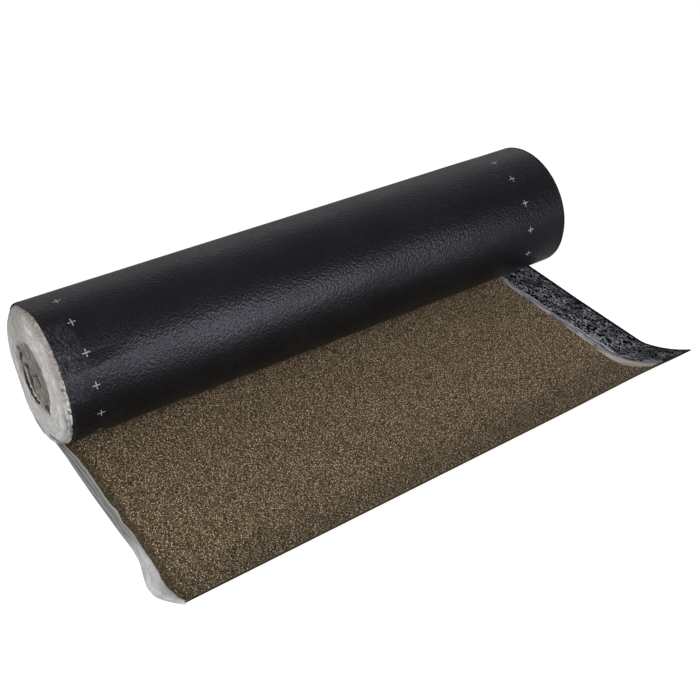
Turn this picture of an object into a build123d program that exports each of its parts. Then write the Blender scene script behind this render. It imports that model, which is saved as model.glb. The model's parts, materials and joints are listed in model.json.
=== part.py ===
from build123d import *
import math
import os

# A partly unrolled roll of mineral-surfaced roofing felt, lying on its underside, in millimetres.
# X runs across the sheet, along the roll's axis. The free end points to -Y. The floor is z = 0.

# Felt sheet
SHEET_WIDTH = 1000.0
SHEET_THICKNESS = 4.0
GRANULE_DEPTH = 1.0
SELVEDGE_WIDTH = 80.0

# Winding: the roll's radius follows from the bore, the turns and the sheet's thickness
BORE_RADIUS = 42.0
TURNS = 19
TURN_GAP_WIDTH = 0.6
TURN_GAP_DEPTH = 3.0
PINCH_GAP = 0.5

# Free end: unrolled length from the roll's line of contact, and its upward curl.
# The curl starts with a short bend and goes on in a wider arc, and it opens from the left edge to the right.
FLAP_LENGTH = 466.0
CURL_LENGTH_LEFT = 76.0
CURL_LENGTH_RIGHT = 123.0
CURL_BEND_RADIUS = 75.0
CURL_BEND_LENGTH = 20.0
CURL_RADIUS_LEFT = 153.0
CURL_RADIUS_RIGHT = 300.0
CURL_RUN_IN = 20.0

# Release film under the felt: it stands past the left edge and closes over the roll's left end
FILM_THICKNESS = 0.5
FILM_MARGIN = 25.0
FILM_MARGIN_NARROW = 13.0
FILM_TAIL = 14.0
END_FILM_DEPTH = 11.0
END_FILM_INSET = 0.25
CORE_FILM_RADIUS = 52.0
CORE_FILM_DEPTH = 5.0
CORE_FILM_SLOPE = 8.0
RIM_STEPS = 3
FOLD_COUNT = 6
FOLD_DEPTH = 1.5

# Film strip on the selvedge, in the step that the granules leave
STRIP_THICKNESS = 0.3
STRIP_EDGE = 2.0

ROLL_RADIUS = BORE_RADIUS + TURNS * SHEET_THICKNESS
FRONT_RADIUS = ROLL_RADIUS - SHEET_THICKNESS / 2
FRONT_CENTRE = ROLL_RADIUS + SHEET_THICKNESS / 2
PINCH_REACH = math.sqrt(FRONT_RADIUS**2 - (FRONT_RADIUS - PINCH_GAP) ** 2)
LEFT = -SHEET_WIDTH / 2
RIGHT = SHEET_WIDTH / 2
SELVEDGE_LINE = RIGHT - SELVEDGE_WIDTH
SELVEDGE_THICKNESS = SHEET_THICKNESS - GRANULE_DEPTH
FLAT_LENGTH = FLAP_LENGTH - max(CURL_LENGTH_LEFT, CURL_LENGTH_RIGHT) - CURL_RUN_IN


def across(x, left, right):
    """A size that changes evenly from the sheet's left edge to its right."""
    return left + (right - left) * (x - LEFT) / SHEET_WIDTH


def curl_start(x):
    """How far out from the line of contact the curl starts at x."""
    return FLAP_LENGTH - across(x, CURL_LENGTH_LEFT, CURL_LENGTH_RIGHT)


def curl_point(x, height, out):
    """Point of the curl at x, this high above the underside and this far out along it, as (y, z)."""
    start = curl_start(x)
    bend = CURL_BEND_RADIUS - height
    wide = across(x, CURL_RADIUS_LEFT, CURL_RADIUS_RIGHT)
    first = min(out - start, CURL_BEND_LENGTH) / CURL_BEND_RADIUS
    last = first + max(out - start - CURL_BEND_LENGTH, 0) / wide
    reach = bend * math.sin(first) + (wide - height) * (math.sin(last) - math.sin(first))
    rise = height + bend * (1 - math.cos(first)) + (wide - height) * (math.cos(first) - math.cos(last))
    return (-start - reach, rise)


def curl_section(x, low, high):
    """Section of the flap's last stretch across X, between two heights above the underside."""
    start = curl_start(x)
    bent = start + CURL_BEND_LENGTH
    stops = (start, (start + bent) / 2, bent, (bent + FLAP_LENGTH) / 2, FLAP_LENGTH)
    under = [curl_point(x, low, out) for out in stops]
    over = [curl_point(x, high, out) for out in stops]
    outline = [
        Line((-FLAT_LENGTH, low), under[0]),
        ThreePointArc(under[0], under[1], under[2]),
        ThreePointArc(under[2], under[3], under[4]),
        Line(under[4], over[4]),
        ThreePointArc(over[4], over[3], over[2]),
        ThreePointArc(over[2], over[1], over[0]),
        Line(over[0], (-FLAT_LENGTH, high)),
        Line((-FLAT_LENGTH, high), (-FLAT_LENGTH, low)),
    ]
    return Plane.YZ.offset(x) * make_face(outline)


def flat_band(x_from, x_to, y_from, y_to, low, high):
    """Straight stretch of a layer of the flap."""
    middle = ((x_from + x_to) / 2, (y_from + y_to) / 2, (low + high) / 2)
    return Pos(*middle) * Box(x_to - x_from, y_to - y_from, high - low)


def curl_band(x_from, x_to, low, high):
    """Curled stretch of a layer of the flap."""
    return loft([curl_section(x_from, low, high), curl_section(x_to, low, high)], ruled=True)


def winding():
    """The roll and the flat part of its free end: one turn of the spiral gives the outline."""
    top = (0, 2 * ROLL_RADIUS)
    pinch = (-PINCH_REACH, SHEET_THICKNESS + PINCH_GAP)
    outline = [
        ThreePointArc((0, 0), (ROLL_RADIUS, ROLL_RADIUS), top),
        ThreePointArc(top, (-FRONT_RADIUS, FRONT_CENTRE), pinch),
        Line(pinch, (-PINCH_REACH, SHEET_THICKNESS)),
        Line((-PINCH_REACH, SHEET_THICKNESS), (-FLAT_LENGTH, SHEET_THICKNESS)),
        Line((-FLAT_LENGTH, SHEET_THICKNESS), (-FLAT_LENGTH, 0)),
        Line((-FLAT_LENGTH, 0), (0, 0)),
    ]
    section = Plane.YZ.offset(LEFT) * make_face(outline)
    return extrude(section, SHEET_WIDTH)


def roll_axis(x):
    """Plane at x across the roll's axis, looking along +X."""
    return Plane(origin=(x, 0, ROLL_RADIUS), x_dir=(0, 1, 0), z_dir=(1, 0, 0))


def bore():
    """Hollow middle of the roll."""
    return extrude(roll_axis(LEFT) * Circle(BORE_RADIUS), SHEET_WIDTH)


def spiral_side(offset):
    """One wall of the gap between the turns, from the flap inwards, as half circles."""
    lead = -PINCH_REACH - TURN_GAP_WIDTH
    wall = [Line((lead, SHEET_THICKNESS - offset), (0, SHEET_THICKNESS - offset))]
    for turn in range(1, TURNS):
        inwards = turn * SHEET_THICKNESS - offset
        low = (0, inwards)
        high = (0, 2 * ROLL_RADIUS - inwards)
        wall.append(ThreePointArc(low, (ROLL_RADIUS - inwards, ROLL_RADIUS), high))
        if turn < TURNS - 1:
            next_low = (0, inwards + SHEET_THICKNESS)
            wall.append(ThreePointArc(high, (inwards - FRONT_RADIUS, FRONT_CENTRE), next_low))
    return wall


def turn_gap():
    """Spiral gap between the turns, as it shows on the roll's right end."""
    half = TURN_GAP_WIDTH / 2
    outer = spiral_side(half)
    inner = spiral_side(-half)
    ends = [Line(outer[0] @ 0, inner[0] @ 0), Line(outer[-1] @ 1, inner[-1] @ 1)]
    band = Plane.YZ.offset(RIGHT - TURN_GAP_DEPTH) * make_face([*outer, *inner, *ends])
    return extrude(band, TURN_GAP_DEPTH)


def felt():
    """The whole sheet: roll with its bore, flat free end, curl and the step at the selvedge."""
    step = flat_band(SELVEDGE_LINE, RIGHT, -FLAT_LENGTH, -PINCH_REACH, SELVEDGE_THICKNESS, SHEET_THICKNESS)
    body = winding() - bore() - turn_gap() - step
    body += curl_band(LEFT, SELVEDGE_LINE, 0, SHEET_THICKNESS)
    body += curl_band(SELVEDGE_LINE, RIGHT, 0, SELVEDGE_THICKNESS)
    return body


def end_film():
    """Gathered film margins over the roll's left end: a shallow cap with folds and a sunken middle."""
    outer = ROLL_RADIUS - END_FILM_INSET
    face_rim = outer - END_FILM_DEPTH
    core_rim = CORE_FILM_RADIUS + CORE_FILM_SLOPE
    pitch = (face_rim - core_rim) / FOLD_COUNT
    bends = [math.pi / 2 * step / RIM_STEPS for step in range(RIM_STEPS + 1)]
    rim = Polyline(*[(-END_FILM_DEPTH * math.sin(b), face_rim + END_FILM_DEPTH * math.cos(b)) for b in bends])
    folds = []
    for fold in range(FOLD_COUNT):
        high = face_rim - fold * pitch
        valley = (FOLD_DEPTH - END_FILM_DEPTH, high - pitch / 2)
        folds.append(Line((-END_FILM_DEPTH, high), valley))
        folds.append(Line(valley, (-END_FILM_DEPTH, high - pitch)))
    outline = [
        Line((0, 0), (0, outer)),
        rim,
        *folds,
        Line((-END_FILM_DEPTH, core_rim), (-CORE_FILM_DEPTH, CORE_FILM_RADIUS)),
        Line((-CORE_FILM_DEPTH, CORE_FILM_RADIUS), (-CORE_FILM_DEPTH, 0)),
        Line((-CORE_FILM_DEPTH, 0), (0, 0)),
    ]
    axis_plane = Plane(origin=(LEFT, 0, ROLL_RADIUS), x_dir=(1, 0, 0), z_dir=(0, -1, 0))
    section = axis_plane * make_face(outline)
    return revolve(section, Axis((LEFT, 0, ROLL_RADIUS), (1, 0, 0)), 360)


def edge_film():
    """Film margin past the flap's left edge: narrow beside the roll, widest just before the corner."""
    tip_y = curl_point(LEFT, 0, FLAP_LENGTH)[0]
    narrow = LEFT - FILM_MARGIN_NARROW
    widest = (LEFT - FILM_MARGIN, tip_y + 2 * FILM_MARGIN)
    opening = (narrow, tip_y + 6 * FILM_MARGIN)
    outline = [
        Line((LEFT, FILM_TAIL), (narrow, FILM_TAIL)),
        Line((narrow, FILM_TAIL), opening),
        Spline(opening, widest, tangents=[(0, -1), (0, -1)]),
        Spline(widest, (LEFT, tip_y), tangents=[(0, -1), (1, -1)]),
        Line((LEFT, tip_y), (LEFT, FILM_TAIL)),
    ]
    reach = FILM_MARGIN + FILM_MARGIN_NARROW
    strip = flat_band(LEFT - reach, LEFT, -FLAT_LENGTH, FILM_TAIL, 0, FILM_THICKNESS)
    strip += extrude(curl_section(LEFT, 0, FILM_THICKNESS), -reach)
    return strip & extrude(make_face(outline), 2 * ROLL_RADIUS)


def release_film():
    """The film's visible margin as one piece: the cap on the roll's end and the strip beside the flap."""
    return end_film() + edge_film()


def selvedge_film():
    """Thin film strip that lies on the selvedge, beside the granules."""
    high = SELVEDGE_THICKNESS + STRIP_THICKNESS
    strip = flat_band(SELVEDGE_LINE, RIGHT, -FLAT_LENGTH, -PINCH_REACH, SELVEDGE_THICKNESS, high)
    strip += curl_band(SELVEDGE_LINE, RIGHT, SELVEDGE_THICKNESS, high)
    return split(strip, Plane.YZ.offset(RIGHT - STRIP_EDGE), Keep.BOTTOM)


# The origin is on the floor at the middle of the whole object's outline.
TIP_REACH = max(-curl_point(LEFT, 0, FLAP_LENGTH)[0], -curl_point(RIGHT, 0, FLAP_LENGTH)[0])
PLACE = Pos(FILM_MARGIN / 2, (TIP_REACH - ROLL_RADIUS) / 2, 0)

os.makedirs("parts", exist_ok=True)
for name, shape in (
    ("felt", felt()),
    ("release_film", release_film()),
    ("selvedge_film", selvedge_film()),
):
    export_step(PLACE * shape, f"parts/{name}.step")
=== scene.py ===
import json
import math

import bpy
import numpy as np
from mathutils import Matrix, Vector, noise


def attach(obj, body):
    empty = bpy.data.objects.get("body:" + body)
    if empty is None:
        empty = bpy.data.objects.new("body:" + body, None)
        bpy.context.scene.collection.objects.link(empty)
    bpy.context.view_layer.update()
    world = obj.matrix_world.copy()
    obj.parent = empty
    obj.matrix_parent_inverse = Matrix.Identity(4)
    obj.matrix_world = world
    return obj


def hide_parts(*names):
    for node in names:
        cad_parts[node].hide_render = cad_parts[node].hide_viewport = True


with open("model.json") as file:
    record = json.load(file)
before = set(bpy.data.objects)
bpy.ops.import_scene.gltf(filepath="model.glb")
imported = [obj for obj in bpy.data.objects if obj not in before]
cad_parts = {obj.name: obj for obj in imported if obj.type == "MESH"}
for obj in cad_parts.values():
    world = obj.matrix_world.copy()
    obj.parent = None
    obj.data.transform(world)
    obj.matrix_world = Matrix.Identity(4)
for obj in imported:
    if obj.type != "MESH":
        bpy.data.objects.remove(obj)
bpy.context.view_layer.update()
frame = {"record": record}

bl_info = {
    "name": "Roofing Felt Roll",
    "version": (1, 0, 0),
    "blender": (4, 5, 0),
    "location": "View3D > Sidebar > Felt Roll",
    "description": "Dresses a packed roll of roofing felt with its films, granules and printed marks",
    "category": "Object",
}

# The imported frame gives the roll: its bore's axis, the sheet's width and the line where it meets the floor.
BORE = next(mount for mount in frame["record"]["mounts"] if mount["name"] == "core_bore")
AXIS = Vector(BORE["pos_m"])
WIDTH = BORE["dims"]["length_mm"] / 1000
BORE_RADIUS = BORE["dims"]["r_mm"] / 1000
ROLL_RADIUS = AXIS.z
LEFT = -WIDTH / 2
RIGHT = WIDTH / 2
PLACE = np.array([AXIS.x, AXIS.y, 0.0])

# Shades within a material, beside the colours on the panel
# Painted highlight on the black film's wrinkles by the left rim
FILM_WRINKLE_HIGHLIGHT = (0.12, 0.12, 0.14)
FILM_SPECK = (0.14, 0.135, 0.13)
TORN_BITUMEN = (0.012, 0.0115, 0.011)
END_STREAK = (0.41, 0.4, 0.386)
END_CLOUD = (0.66, 0.65, 0.636)
# Painted shade along fine fold lines in the pale end film
END_FOLD_SHADE = (0.19, 0.182, 0.17)
# Painted shade over the top and back of the end film
END_TOP_SHADE = (0.26, 0.238, 0.208)
BRIM_DARK, BRIM_LIGHT = (0.13, 0.125, 0.119), (0.4, 0.388, 0.37)
WORN_DARK, WORN_LIGHT = (0.12, 0.108, 0.092), (0.6, 0.577, 0.54)
CORE_LIGHT = (0.28, 0.26, 0.228)
# Painted shade along fine fold lines in the end film's core
CORE_FOLD_SHADE = (0.03, 0.026, 0.021)
# Painted highlight along the crest of a fold in the end film's core
CREST_HIGHLIGHT = (0.6, 0.57, 0.5)
# Painted shade in the end film's slits and creases
SLIT_SHADE = (0.012, 0.01, 0.008)
SINGLE_DARK, SINGLE_LIGHT = (0.12, 0.12, 0.124), (0.33, 0.327, 0.32)
DOUBLE_DARK, DOUBLE_LIGHT = (0.41, 0.406, 0.402), (0.56, 0.555, 0.547)
HEM_SHADE = (0.5, 0.475, 0.41)
LIP_DARK, LIP_LIGHT = (0.1, 0.099, 0.108), (0.33, 0.324, 0.344)
MILKY_DARK, MILKY_LIGHT = (0.34, 0.318, 0.26), (0.5, 0.475, 0.4)


def length(name, description, default, least):
    """Property for a length in metres."""
    return bpy.props.FloatProperty(
        name=name, description=description, default=default, min=least, unit="LENGTH", subtype="DISTANCE")


def tone(name, description, default):
    """Property for a colour."""
    return bpy.props.FloatVectorProperty(
        name=name, description=description, default=default, subtype="COLOR", size=3, min=0.0, max=1.0)


class FeltRollSizes(bpy.types.PropertyGroup):
    """Sizes of the sheet, its winding, its free end and its films."""

    thickness: length("Sheet Thickness", "Thickness of the felt with its granules", 0.004, 0.001)
    granule_depth: length("Granule Depth", "How much thinner the bare selvedge is", 0.001, 0.0)
    selvedge_width: length("Selvedge Width", "Width of the bare lap at the right edge", 0.08, 0.0)
    flap_length: length("Free End Length", "Unrolled length from the roll's line of contact", 0.466, 0.1)
    curl_start_left: length("Curl Start Left", "Where the left edge starts to curl up", 0.39, 0.05)
    curl_start_right: length("Curl Start Right", "Where the right edge starts to curl up", 0.343, 0.05)
    curl_bend: length("Curl Bend", "Radius of the bend that starts the curl", 0.075, 0.01)
    curl_bend_length: length("Curl Bend Length", "Length of the bend that starts the curl", 0.02, 0.001)
    curl_left: length("Curl Radius Left", "Radius of the curl past the bend at the left edge", 0.153, 0.01)
    curl_right: length("Curl Radius Right", "Radius of the curl past the bend at the right edge", 0.3, 0.01)
    end_film_depth: length("End Film Depth", "How far the gathered film stands out of the end", 0.012, 0.001)
    core_radius: length("Core Radius", "Radius of the sunken, crumpled middle of the end film", 0.0585, 0.01)
    mark_spacing: length("Mark Spacing", "Distance between the printed crosses along the sheet", 0.0521, 0.01)
    mark_size: length("Mark Size", "Length of a printed cross's arm from tip to tip", 0.0128, 0.002)
    grain_count: bpy.props.IntProperty(
        name="Loose Grains", description="Number of grains of each tone on the free end",
        default=24000, min=0, max=24500)


class FeltRollColours(bpy.types.PropertyGroup):
    """Colours of the felt and its films."""

    film_face: tone("Film Face", "Black film on the sheet's outside", (0.0028, 0.0028, 0.0034))
    film_dust: tone("Film Dust", "Slightly dusty patches of the black film", (0.0068, 0.0068, 0.0078))
    ink: tone("Ink", "Printed crosses", (0.27, 0.27, 0.3))
    grain_dark: tone("Dark Grain", "Darkest mineral grains", (0.010, 0.0058, 0.0022))
    grain_mid: tone("Middle Grain", "Most of the mineral grains", (0.139, 0.096, 0.048))
    grain_light: tone("Light Grain", "Lightest mineral grains", (0.7, 0.55, 0.37))
    bled_edge: tone("Bled Edge", "Bitumen bled through the left edge's granules", (0.03, 0.025, 0.009))
    bitumen: tone("Bitumen", "Cut edges and bare bitumen", (0.005, 0.005, 0.005))
    release_film: tone("Release Film", "Pale film over the roll's end", (0.57, 0.558, 0.54))
    core_film: tone("Core Film", "Crumpled film in the middle of the roll's end", (0.155, 0.139, 0.118))
    selvedge_film: tone("Selvedge Film", "Dark film on the selvedge", (0.003, 0.003, 0.004))
    # Grey flecks of painted reflection on the selvedge film
    selvedge_glint: tone("Selvedge Fleck", "Grey flecks in the selvedge film", (0.25, 0.26, 0.285))
    floor: tone("Floor", "Studio floor", (0.7, 0.7, 0.7))


def sizes():
    return bpy.context.scene.felt_roll_sizes


def colours():
    return bpy.context.scene.felt_roll_colours


# Shapes of the sheet. Lengths are in metres from the middle of the roll's line of contact with the floor.

def smooth(low, high, value):
    """Smooth step from 0 at low to 1 at high."""
    part = np.clip((value - low) / (high - low), 0.0, 1.0)
    return part * part * (3 - 2 * part)


def turned(low, high, turn):
    """Smooth step over a turn, between two angles in degrees."""
    return smooth(math.radians(low), math.radians(high), turn)


def ripple(values, scale, seed):
    """Smooth noise along a line, from -1 to 1."""
    flat = np.ravel(values)
    made = [noise.noise(Vector((value * scale, seed * 7.31, seed * 3.17))) for value in flat]
    return np.reshape(made, np.shape(values))


def surface_noise(points, scale, octaves=3):
    """Fractal noise at an array of points."""
    flat = np.reshape(points, (-1, 3)) * scale
    made = [noise.fractal(Vector(point), 0.9, 2.1, octaves) for point in flat]
    return np.reshape(made, np.shape(points)[:-1])


def flap_points(x, out, height):
    """Points of the free end, out from the line of contact and this high above its underside.

    The curl starts with a short bend and goes on in a wider arc, and both open towards the right edge.
    Its right corner sways by up to about 3 mm.
    """
    size = sizes()
    share = np.clip((x - LEFT) / WIDTH, 0.0, 1.0)
    start = size.curl_start_left + (size.curl_start_right - size.curl_start_left) * share
    wide = size.curl_left + (size.curl_right - size.curl_left) * share
    bend = size.curl_bend
    first = np.clip(out - start, 0.0, size.curl_bend_length) / bend
    last = first + np.clip(out - start - size.curl_bend_length, 0.0, None) / wide
    y = -np.minimum(out, start) - (bend - height) * np.sin(first)
    y = y - (wide - height) * (np.sin(last) - np.sin(first))
    z = bend - (bend - height) * np.cos(first) + (wide - height) * (np.cos(first) - np.cos(last))
    sway = np.interp(share, [0.7, 0.8, 0.85, 0.9, 0.96, 1.0], [1.2, 2.4, 3.2, 2.6, 0.0, -0.6]) / 1000
    z = z + sway * smooth(0.38, 0.46, out)
    return np.stack(np.broadcast_arrays(x, y, z), axis=-1)


def half_turn(turn):
    """The half circle that holds this turn of the winding: its number, radius and height of its centre."""
    number = np.floor(np.asarray(turn) / math.pi + 1e-9)
    step = sizes().thickness / 2
    return number, ROLL_RADIUS - number * step, ROLL_RADIUS + np.mod(number, 2) * step


def roll_points(x, turn, height):
    """Points of the winding, turned from its lowest line round the back, this high inside its outer face."""
    _, radius, centre = half_turn(turn)
    reach = radius - height
    return np.stack(np.broadcast_arrays(x, reach * np.sin(turn), centre - reach * np.cos(turn)), axis=-1)


def fullness(x, turn):
    """How far the top of the outer turn stands proud, which grows towards the roll's left end."""
    top = turned(105, 150, turn) * turned(255, 205, turn)
    return (0.0008 * smooth(0.46, 0.35, x) + 0.0017 * smooth(0.35, LEFT, x)) * top


def length_wound(turn):
    """Length of sheet from the line of contact to this turn."""
    number, radius, _ = half_turn(turn)
    whole = math.pi * number * (ROLL_RADIUS - (number - 1) * sizes().thickness / 4)
    return whole + (turn - math.pi * number) * radius


def left_edge(out):
    """The free end's wavy left edge, at each distance out from the roll."""
    known = [0.0, 0.05, 0.08, 0.12, 0.17, 0.198, 0.227, 0.249, 0.283, 0.312, 0.35, 0.385, 0.41, 0.47]
    inset = [3.0, 4.8, 8.3, 9.0, 6.8, 5.8, 8.8, 4.4, 7.2, 5.6, 5.0, 1.2, 0.6, 0.2]
    steady = smooth(0.47, 0.44, out)
    return LEFT + np.interp(out, known, inset) / 1000 + 0.0011 * steady * ripple(out, 75.0, 1)


def right_edge(out):
    """The free end's right edge, at each distance out from the roll."""
    return RIGHT - 0.002 * smooth(0.06, 0.2, out) * (1 - smooth(0.36, 0.455, out))


def lap_line(out):
    """Where the granules end at the selvedge, at each distance out from the roll."""
    return RIGHT - sizes().selvedge_width + 0.0006 * ripple(out, 26.0, 2)


def lip_reach(out):
    """How far the selvedge film's lip laps over the granules, at each distance out from the roll."""
    known = [0.0, 0.06, 0.2, 0.3, 0.36, 0.4, 0.44, 0.47]
    wide = np.interp(out, known, [4.0, 6.0, 7.5, 8.5, 11.5, 17.0, 17.5, 15.0])
    return (wide + 1.3 * ripple(out, 34.0, 6)) / 1000


# Mesh making

def new_piece(name, points, faces, materials, slots=None, point_data=None, sharp=math.radians(50)):
    """A mesh object at the roll's place, with its materials, per-face slots and per-point values."""
    mesh = bpy.data.meshes.new(name)
    mesh.from_pydata((np.reshape(points, (-1, 3)) + PLACE).tolist(), [], faces)
    for material in materials:
        mesh.materials.append(material)
    if slots is not None:
        mesh.polygons.foreach_set("material_index", np.asarray(slots, np.int32))
    for key, values in (point_data or {}).items():
        values = np.asarray(values, np.float32)
        kind, field = ("FLOAT_VECTOR", "vector") if values.ndim == 2 else ("FLOAT", "value")
        mesh.attributes.new(key, kind, "POINT").data.foreach_set(field, values.ravel())
    mesh.shade_smooth()
    mesh.set_sharp_from_angle(angle=sharp)
    mesh.validate()
    piece = bpy.data.objects.new(name, mesh)
    bpy.context.scene.collection.objects.link(piece)
    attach(piece, "root")
    return piece


def grid_faces(rows, columns, first=0, flip=False):
    """Quads of a grid of points stored row by row."""
    corner = first + np.arange(rows - 1)[:, None] * columns + np.arange(columns - 1)[None, :]
    quads = np.stack([corner, corner + 1, corner + columns + 1, corner + columns], axis=-1).reshape(-1, 4)
    return quads[:, ::-1] if flip else quads


def slab(low, high):
    """Closed slab between two grids of points: its points, its faces and each face's side.

    Sides are 0 for low, 1 for high and 2 for the rim.
    """
    rows, columns = low.shape[:2]
    count = rows * columns
    under = grid_faces(rows, columns)
    over = grid_faces(rows, columns, count, True)
    ring = np.concatenate([
        np.arange(columns),
        np.arange(1, rows) * columns + columns - 1,
        (rows - 1) * columns + np.arange(columns - 2, -1, -1),
        np.arange(rows - 2, 0, -1) * columns,
    ])
    after = np.roll(ring, -1)
    rim = np.stack([after, ring, ring + count, after + count], axis=-1)
    faces = np.concatenate([under, over, rim])
    sides = np.repeat([0, 1, 2], [len(under), len(over), len(rim)])
    return np.concatenate([low.reshape(-1, 3), high.reshape(-1, 3)]), faces, sides


# Node making

class Graph:
    """Short forms for adding and joining shader nodes in one tree."""

    def __init__(self, tree):
        self.tree = tree

    def add(self, kind, inputs=None, **settings):
        node = self.tree.nodes.new(kind)
        for key, value in settings.items():
            setattr(node, key, value)
        return self.fill(node, inputs or {})

    def fill(self, node, inputs):
        for key, value in inputs.items():
            self.set(node.inputs[key], value)
        return node

    def set(self, socket, value):
        if isinstance(value, bpy.types.NodeSocket):
            self.tree.links.new(value, socket)
        else:
            socket.default_value = (*value, 1.0) if socket.type == "RGBA" else value

    def math(self, operation, *values, clamp=False):
        node = self.add("ShaderNodeMath", operation=operation, use_clamp=clamp)
        for socket, value in zip(node.inputs, values):
            self.set(socket, value)
        return node.outputs[0]

    def times(self, first, second):
        return self.math("MULTIPLY", first, second)

    def less(self, first, second):
        return self.math("SUBTRACT", first, second)

    def most(self, first, second):
        return self.math("MAXIMUM", first, second)

    def shifted(self, base, value, scale):
        """Base moved up or down by a noise about its middle."""
        return self.math("MULTIPLY_ADD", self.less(value, 0.5), scale, base)

    def lines(self, value, wide, narrow=0.0):
        """Mask of the thin lines along which a noise passes its middle."""
        return self.between(self.math("ABSOLUTE", self.less(value, 0.5)), wide, narrow)

    def between(self, value, low, high, to_low=0.0, to_high=1.0):
        inputs = {"Value": value, "From Min": low, "From Max": high, "To Min": to_low, "To Max": to_high}
        node = self.add("ShaderNodeMapRange", inputs, interpolation_type="SMOOTHSTEP")
        return node.outputs["Result"]

    def mix(self, share, first, second):
        return self.add("ShaderNodeMix", {0: share, 6: first, 7: second}, data_type="RGBA").outputs[2]

    def noise(self, vector, scale, detail, roughness, distortion=0.0):
        inputs = {"Vector": vector, "Scale": scale, "Detail": detail, "Roughness": roughness,
                  "Distortion": distortion}
        return self.add("ShaderNodeTexNoise", inputs).outputs["Fac"]

    def stretched(self, vector, scale):
        return self.add("ShaderNodeVectorMath", {0: vector, 1: scale}, operation="MULTIPLY").outputs[0]

    def streaks(self, vector, scale, *settings):
        return self.noise(self.stretched(vector, scale), 1.0, *settings)

    def bump(self, height, strength, distance, normal=None):
        inputs = {"Height": height, "Strength": strength, "Distance": distance}
        if normal is not None:
            inputs["Normal"] = normal
        return self.add("ShaderNodeBump", inputs).outputs["Normal"]

    def attribute(self, name, output="Fac"):
        return self.add("ShaderNodeAttribute", attribute_name=name).outputs[output]

    def group(self, tree, inputs):
        return self.add("ShaderNodeGroup", inputs, node_tree=tree).outputs


def new_material(name):
    """A material with a plain Principled surface: the material, its graph and its shader."""
    material = bpy.data.materials.new(name)
    material.use_nodes = True
    return material, Graph(material.node_tree), material.node_tree.nodes["Principled BSDF"]


def new_group(name, inputs, outputs):
    """An empty shader node group with these sockets: the group, its graph and its inner ends."""
    group = bpy.data.node_groups.new(name, "ShaderNodeTree")
    for way, sockets in (("INPUT", inputs), ("OUTPUT", outputs)):
        for socket, kind in sockets.items():
            group.interface.new_socket(name=socket, in_out=way, socket_type="NodeSocket" + kind)
    graph = Graph(group)
    return group, graph, graph.add("NodeGroupInput").outputs, graph.add("NodeGroupOutput").inputs


def mineral_speckle():
    """Group: colour and relief of mineral grains. Used by the granule bed and by the loose grains."""
    found = bpy.data.node_groups.get("mineral_speckle")
    if found:
        return found
    group, graph, given, result = new_group(
        "mineral_speckle",
        {"Vector": "Vector", "Tint": "Float", "Dark": "Color", "Middle": "Color", "Light": "Color"},
        {"Color": "Color", "Height": "Float"})
    cells = graph.add("ShaderNodeTexVoronoi", {"Vector": given["Vector"], "Scale": 460.0}).outputs
    drawn = graph.add("ShaderNodeSeparateColor", {"Color": cells["Color"]}).outputs[0]
    own = graph.shifted(given["Tint"], drawn, 0.6)
    own = graph.math("MULTIPLY_ADD", graph.less(0.38, cells["Distance"]), 0.5, own)
    lower = graph.mix(graph.between(own, 0.1, 0.55), given["Dark"], given["Middle"])
    colour = graph.mix(graph.between(own, 0.62, 1.0), lower, given["Light"])
    fine = graph.noise(given["Vector"], 1300.0, 2.0, 0.6)
    round_top = graph.less(1.0, graph.times(cells["Distance"], 1.1))
    graph.set(result["Color"], colour)
    graph.set(result["Height"], graph.math("ADD", round_top, graph.times(fine, 0.3)))
    return group


def film_crinkle():
    """Group: relief of thin film drawn tight. Used by the black film and by the pale films."""
    found = bpy.data.node_groups.get("film_crinkle")
    if found:
        return found
    group, graph, given, result = new_group(
        "film_crinkle",
        {"Vector": "Vector", "Fold Scale": "Float", "Grain Scale": "Float", "Grain": "Float"},
        {"Height": "Float", "Fold": "Float", "Stipple": "Float"})
    folds = graph.noise(given["Vector"], given["Fold Scale"], 4.0, 0.55, 0.6)
    ridge = graph.times(graph.math("ABSOLUTE", graph.less(folds, 0.5)), 5.0)
    ridge = graph.math("SUBTRACT", 1.0, ridge, clamp=True)
    pebbles = graph.add("ShaderNodeTexVoronoi", {"Vector": given["Vector"], "Scale": given["Grain Scale"]})
    grain = graph.math("SUBTRACT", 1.0, pebbles.outputs["Distance"], clamp=True)
    graph.set(result["Height"], graph.math("ADD", ridge, graph.times(grain, given["Grain"])))
    graph.set(result["Fold"], ridge)
    graph.set(result["Stipple"], grain)
    return group


def crinkled(graph, place, fold, grain, share):
    """Outputs of the film's relief, with the scales of its folds and grain and the grain's share."""
    inputs = {"Vector": place, "Fold Scale": fold, "Grain Scale": grain, "Grain": share}
    return graph.group(film_crinkle(), inputs)


# Materials

def cross_mask(graph, across, along, row, phase):
    """Mask of one row of printed crosses along the sheet."""
    half = sizes().mark_size / 2
    line = half * 0.125
    side = graph.math("ABSOLUTE", graph.less(across, row))
    wrapped = graph.math("PINGPONG", graph.less(along, phase), sizes().mark_spacing / 2)
    soft_end, soft_side = 2e-4, 3e-4
    arms = []
    for long, thin in ((side, wrapped), (wrapped, side)):
        within = graph.between(long, half + soft_end, half - soft_end)
        arms.append(graph.times(within, graph.between(thin, line + soft_side, line - soft_side)))
    return graph.most(*arms)


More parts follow.
